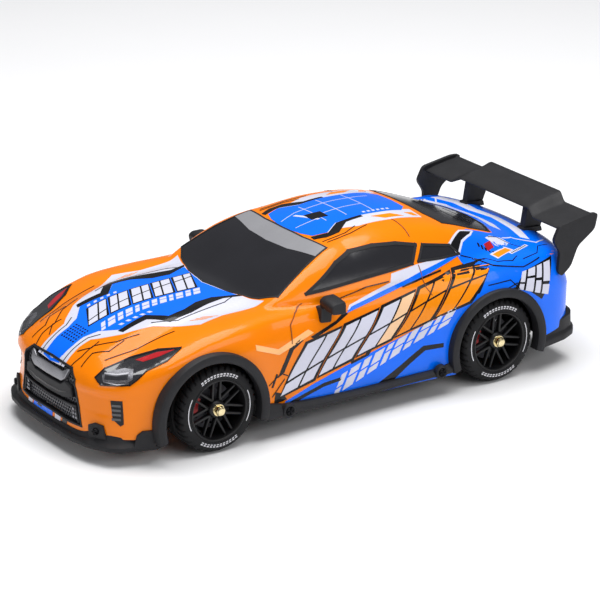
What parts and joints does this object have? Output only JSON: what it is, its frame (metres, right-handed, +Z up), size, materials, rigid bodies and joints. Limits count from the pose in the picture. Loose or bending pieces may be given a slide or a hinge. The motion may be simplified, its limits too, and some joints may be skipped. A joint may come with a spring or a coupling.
{
  "type": "rc drift car",
  "caption": "Radio-controlled drift coupe: lift-off body shell with rear wing over a steered, sprung chassis with a driven solid rear axle.",
  "frame": {"origin": "on the ground, under the middle of the car's overall length and width", "axes": "+X towards the nose, +Y to the car's left side, +Z up; the wheels turn about Y"},
  "size_m": [0.304, 0.139, 0.0915],
  "materials": {
    "battery_wrap": "shrink wrap",
    "black_trim": "fine-textured matte black moulding",
    "brass": "machined",
    "caliper_red": "painted",
    "chassis_nylon": "moulded nylon",
    "gear_white": "moulded acetal",
    "grille_grey": "dark mesh",
    "lamp_lens": "dark smoked lens",
    "motor_can": "plated can",
    "red_lens": "clear red",
    "rim_black": "satin black",
    "shell_paint": "glossy painted moulded shell",
    "spring_steel": "drawn wire",
    "steel": "machined",
    "tinted_window": "gloss dark tinted",
    "tyre_rubber": "moulded rubber"
  },
  "bodies": {
    "chassis": {"chassis_tub": "chassis_nylon", "front_bulkhead": "chassis_nylon", "hinge_pins": "steel", "spring_guides": "steel", "front_spring_left": "spring_steel", "front_spring_right": "spring_steel", "steering_servo": "chassis_nylon", "battery_hatch": "chassis_nylon", "battery_pack": "battery_wrap", "receiver_box": "chassis_nylon", "power_switch": "chassis_nylon", "bumper_beam": "chassis_nylon", "rear_bridge": "chassis_nylon"},
    "shell": {"body_shell": "shell_paint", "windscreen": "tinted_window", "rear_window": "tinted_window", "side_windows": "tinted_window", "headlight_lenses": "lamp_lens", "grille_insert": "grille_grey", "tail_lamps": "red_lens", "front_arch_flares": "black_trim", "rear_arch_flares": "black_trim", "front_splitter": "black_trim", "side_skirts": "black_trim", "rear_skirt": "black_trim", "mirrors": "black_trim", "rear_wing": "black_trim", "wing_struts": "black_trim", "shell_screws": "steel"},
    "servo_horn": {"servo_horn": "gear_white"},
    "tie_rod": {"tie_rod": "chassis_nylon"},
    "switch_lever": {"switch_lever": "chassis_nylon"},
    "rear_pod": {"rear_pod_frame": "chassis_nylon", "rear_bearings": "steel", "drive_motor": "motor_can", "pod_springs": "spring_steel", "rear_calipers": "caliper_red"},
    "rear_axle": {"rear_axle_shaft": "steel", "spur_gear": "gear_white", "rear_brake_discs": "steel", "rear_wheel_nuts": "brass", "rear_left_rim": "rim_black", "rear_left_tyre": "tyre_rubber", "rear_right_rim": "rim_black", "rear_right_tyre": "tyre_rubber"},
    "motor_pinion": {"motor_pinion": "brass"},
    "front_left_arm": {"front_left_arm": "chassis_nylon"},
    "front_left_knuckle": {"front_left_knuckle": "chassis_nylon", "front_left_caliper": "caliper_red"},
    "front_left_wheel": {"front_left_rim": "rim_black", "front_left_tyre": "tyre_rubber", "front_left_brake_disc": "steel", "front_left_wheel_nut": "brass"},
    "front_right_arm": {"front_right_arm": "chassis_nylon"},
    "front_right_knuckle": {"front_right_knuckle": "chassis_nylon", "front_right_caliper": "caliper_red"},
    "front_right_wheel": {"front_right_rim": "rim_black", "front_right_tyre": "tyre_rubber", "front_right_brake_disc": "steel", "front_right_wheel_nut": "brass"}
  },
  "joints": [
    {"name": "shell_lift", "type": "slide", "parent": "chassis", "child": "shell", "axis": [0, 0, 1], "range_m": [0, 0.1]},
    {"name": "front_left_suspension", "type": "hinge", "parent": "chassis", "child": "front_left_arm", "pos_m": [0.087, 0.016, 0.015], "axis": [1, 0, 0], "range_deg": [-2.5, 2.5], "stiffness_Nm_per_rad": 3, "springref_deg": -0.95, "deforming": ["front_spring_left"]},
    {"name": "front_left_steer", "type": "hinge", "parent": "front_left_arm", "child": "front_left_knuckle", "pos_m": [0.087, 0.05, 0.0228], "axis": [0, 0, 1], "range_deg": [-18, 18]},
    {"name": "front_left_wheel_spin", "type": "hinge", "parent": "front_left_knuckle", "child": "front_left_wheel", "pos_m": [0.087, 0.0535, 0.0228], "axis": [0, 1, 0], "continuous": true},
    {"name": "front_right_suspension", "type": "hinge", "parent": "chassis", "child": "front_right_arm", "pos_m": [0.087, -0.016, 0.015], "axis": [-1, 0, 0], "range_deg": [-2.5, 2.5], "stiffness_Nm_per_rad": 3, "springref_deg": -0.95, "deforming": ["front_spring_right"]},
    {"name": "front_right_steer", "type": "hinge", "parent": "front_right_arm", "child": "front_right_knuckle", "pos_m": [0.087, -0.05, 0.0228], "axis": [0, 0, 1], "range_deg": [-18, 18]},
    {"name": "front_right_wheel_spin", "type": "hinge", "parent": "front_right_knuckle", "child": "front_right_wheel", "pos_m": [0.087, -0.0535, 0.0228], "axis": [0, 1, 0], "continuous": true},
    {"name": "tie_rod_slide", "type": "slide", "parent": "chassis", "child": "tie_rod", "axis": [0, 1, 0], "range_m": [-0.0022, 0.0022]},
    {"name": "servo_horn_turn", "type": "hinge", "parent": "chassis", "child": "servo_horn", "pos_m": [0.07, 0, 0.0233], "axis": [0, 0, 1], "range_deg": [-12.61, 12.61]},
    {"name": "power_switch_slide", "type": "slide", "parent": "chassis", "child": "switch_lever", "axis": [1, 0, 0], "range_m": [-0.002, 0.002]},
    {"name": "rear_suspension", "type": "hinge", "parent": "chassis", "child": "rear_pod", "pos_m": [-0.052, 0, 0.0135], "axis": [0, 1, 0], "range_deg": [-1.5, 1.5], "stiffness_Nm_per_rad": 10, "springref_deg": -0.54, "deforming": ["pod_springs"]},
    {"name": "rear_axle_spin", "type": "hinge", "parent": "rear_pod", "child": "rear_axle", "pos_m": [-0.087, 0, 0.0228], "axis": [0, 1, 0], "continuous": true},
    {"name": "motor_spin", "type": "hinge", "parent": "rear_pod", "child": "motor_pinion", "pos_m": [-0.073, 0, 0.0228], "axis": [0, 1, 0], "continuous": true}
  ],
  "couplings": [
    {"joint": "front_right_steer", "follows": "front_left_steer", "ratio": 1},
    {"joint": "tie_rod_slide", "follows": "front_left_steer", "m_per_rad": -0.007},
    {"joint": "servo_horn_turn", "follows": "front_left_steer", "ratio": -0.7},
    {"joint": "motor_spin", "follows": "rear_axle_spin", "ratio": -3.6667}
  ]
}
